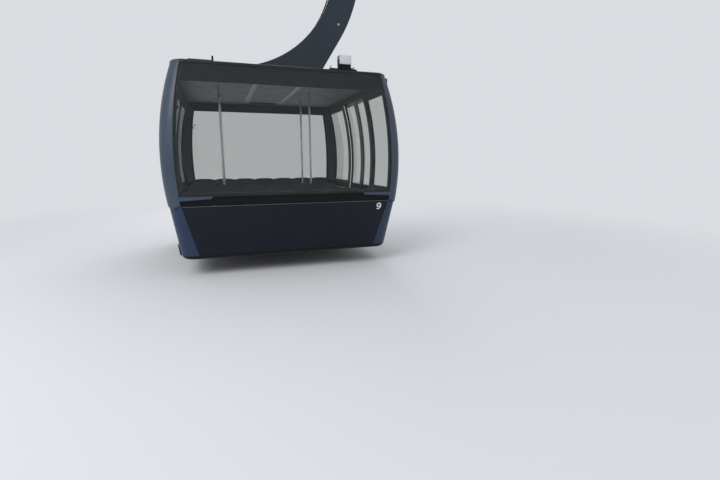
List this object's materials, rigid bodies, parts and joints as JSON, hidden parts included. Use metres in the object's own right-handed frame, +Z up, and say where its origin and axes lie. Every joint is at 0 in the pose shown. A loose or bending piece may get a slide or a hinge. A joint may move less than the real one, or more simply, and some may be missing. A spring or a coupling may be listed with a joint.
{
  "type": "tricable cable car cabin",
  "caption": "Enclosed cable car cabin with bowed tinted windows and sliding doors, hung by a C-shaped arm from a rope carriage with grooved running wheels and a rope grip.",
  "frame": {"origin": "centre of the haul rope in the middle of the grip", "axes": "+X along the rope in the direction of travel, +Y towards the doors and the arm's bulge, +Z up"},
  "size_m": [3.8998, 3.4755, 6.32],
  "materials": {
    "black_rubber": "matte",
    "black_trim": "matte",
    "box_paint": "satin",
    "brushed_tube": "brushed",
    "cast_grip": "rough",
    "ceiling_panel": "matte",
    "corner_paint": "satin",
    "dark_steel": "satin",
    "gloss_panel": "gloss",
    "light_lens": "gloss",
    "machined_steel": "brushed",
    "pillar_paint": "satin",
    "roof_paint": "satin",
    "seat_shell": "matte",
    "tinted_glass": "gloss",
    "wheel_alloy": "satin"
  },
  "bodies": {
    "carriage": {"chassis": "dark_steel", "drive_plate": "machined_steel", "rocker_beams": "dark_steel", "grip_body": "cast_grip"},
    "grip_jaw": {"grip_jaw": "cast_grip"},
    "wheel_front_closed_side_leading": {"wheel_front_closed_side_leading": "wheel_alloy"},
    "wheel_front_closed_side_trailing": {"wheel_front_closed_side_trailing": "wheel_alloy"},
    "wheel_front_door_side_leading": {"wheel_front_door_side_leading": "wheel_alloy"},
    "wheel_front_door_side_trailing": {"wheel_front_door_side_trailing": "wheel_alloy"},
    "wheel_rear_closed_side_leading": {"wheel_rear_closed_side_leading": "wheel_alloy"},
    "wheel_rear_closed_side_trailing": {"wheel_rear_closed_side_trailing": "wheel_alloy"},
    "wheel_rear_door_side_leading": {"wheel_rear_door_side_leading": "wheel_alloy"},
    "wheel_rear_door_side_trailing": {"wheel_rear_door_side_trailing": "wheel_alloy"},
    "door_front": {"door_leaf_front": "gloss_panel", "door_glass_front": "tinted_glass", "door_seal_front": "black_rubber"},
    "door_rear": {"door_leaf_rear": "gloss_panel", "door_glass_rear": "tinted_glass", "door_seal_rear": "black_rubber"},
    "cabin": {"belt_recess": "black_trim", "ceiling": "ceiling_panel", "ceiling_lights": "light_lens", "closed_side_frame": "black_trim", "closed_side_panel": "gloss_panel", "closed_side_window": "tinted_glass", "corner_pillars": "pillar_paint", "door_bottom_rail": "black_trim", "door_portal": "black_trim", "door_side_frames": "black_trim", "door_side_panels": "gloss_panel", "door_side_windows": "tinted_glass", "door_top_rail": "black_trim", "end_lower_panels": "gloss_panel", "end_seats_front": "seat_shell", "end_seats_rear": "seat_shell", "end_window_frames": "black_trim", "end_windows": "tinted_glass", "floor_mat": "black_rubber", "floor_pan": "black_trim", "grab_poles": "brushed_tube", "hanger_arm": "dark_steel", "inner_seats_front": "seat_shell", "inner_seats_rear": "seat_shell", "lower_corner_panels": "corner_paint", "roof_box": "box_paint", "roof_box_base": "black_trim", "roof_buffers": "black_rubber", "roof_cable_rail": "black_trim", "roof_frame": "dark_steel", "roof_panel": "roof_paint", "rub_strip": "black_rubber", "seat_frames": "brushed_tube", "swing_axle": "machined_steel", "underfloor_runners": "black_trim"}
  },
  "joints": [
    {"name": "hanger_swing", "type": "hinge", "parent": "carriage", "child": "cabin", "pos_m": [0, 0, 0.398], "axis": [0, 1, 0], "range_deg": [-35, 35]},
    {"name": "grip_jaw_hinge", "type": "hinge", "parent": "carriage", "child": "grip_jaw", "pos_m": [0, 0.052, 0.096], "axis": [1, 0, 0], "range_deg": [0, 18]},
    {"name": "door_front_slide", "type": "slide", "parent": "cabin", "child": "door_front", "axis": [1, 0, 0], "range_m": [0, 0.64]},
    {"name": "door_rear_slide", "type": "slide", "parent": "cabin", "child": "door_rear", "axis": [-1, 0, 0], "range_m": [0, 0.64]},
    {"name": "spin_front_closed_side_leading", "type": "hinge", "parent": "carriage", "child": "wheel_front_closed_side_leading", "pos_m": [1.01, -0.55, 0.278], "axis": [0, 1, 0], "continuous": true},
    {"name": "spin_front_closed_side_trailing", "type": "hinge", "parent": "carriage", "child": "wheel_front_closed_side_trailing", "pos_m": [0.59, -0.55, 0.278], "axis": [0, 1, 0], "continuous": true},
    {"name": "spin_front_door_side_leading", "type": "hinge", "parent": "carriage", "child": "wheel_front_door_side_leading", "pos_m": [1.01, 0.55, 0.278], "axis": [0, 1, 0], "continuous": true},
    {"name": "spin_front_door_side_trailing", "type": "hinge", "parent": "carriage", "child": "wheel_front_door_side_trailing", "pos_m": [0.59, 0.55, 0.278], "axis": [0, 1, 0], "continuous": true},
    {"name": "spin_rear_closed_side_leading", "type": "hinge", "parent": "carriage", "child": "wheel_rear_closed_side_leading", "pos_m": [-0.59, -0.55, 0.278], "axis": [0, 1, 0], "continuous": true},
    {"name": "spin_rear_closed_side_trailing", "type": "hinge", "parent": "carriage", "child": "wheel_rear_closed_side_trailing", "pos_m": [-1.01, -0.55, 0.278], "axis": [0, 1, 0], "continuous": true},
    {"name": "spin_rear_door_side_leading", "type": "hinge", "parent": "carriage", "child": "wheel_rear_door_side_leading", "pos_m": [-0.59, 0.55, 0.278], "axis": [0, 1, 0], "continuous": true},
    {"name": "spin_rear_door_side_trailing", "type": "hinge", "parent": "carriage", "child": "wheel_rear_door_side_trailing", "pos_m": [-1.01, 0.55, 0.278], "axis": [0, 1, 0], "continuous": true}
  ],
  "couplings": [
    {"joint": "door_rear_slide", "follows": "door_front_slide", "ratio": 1}
  ]
}
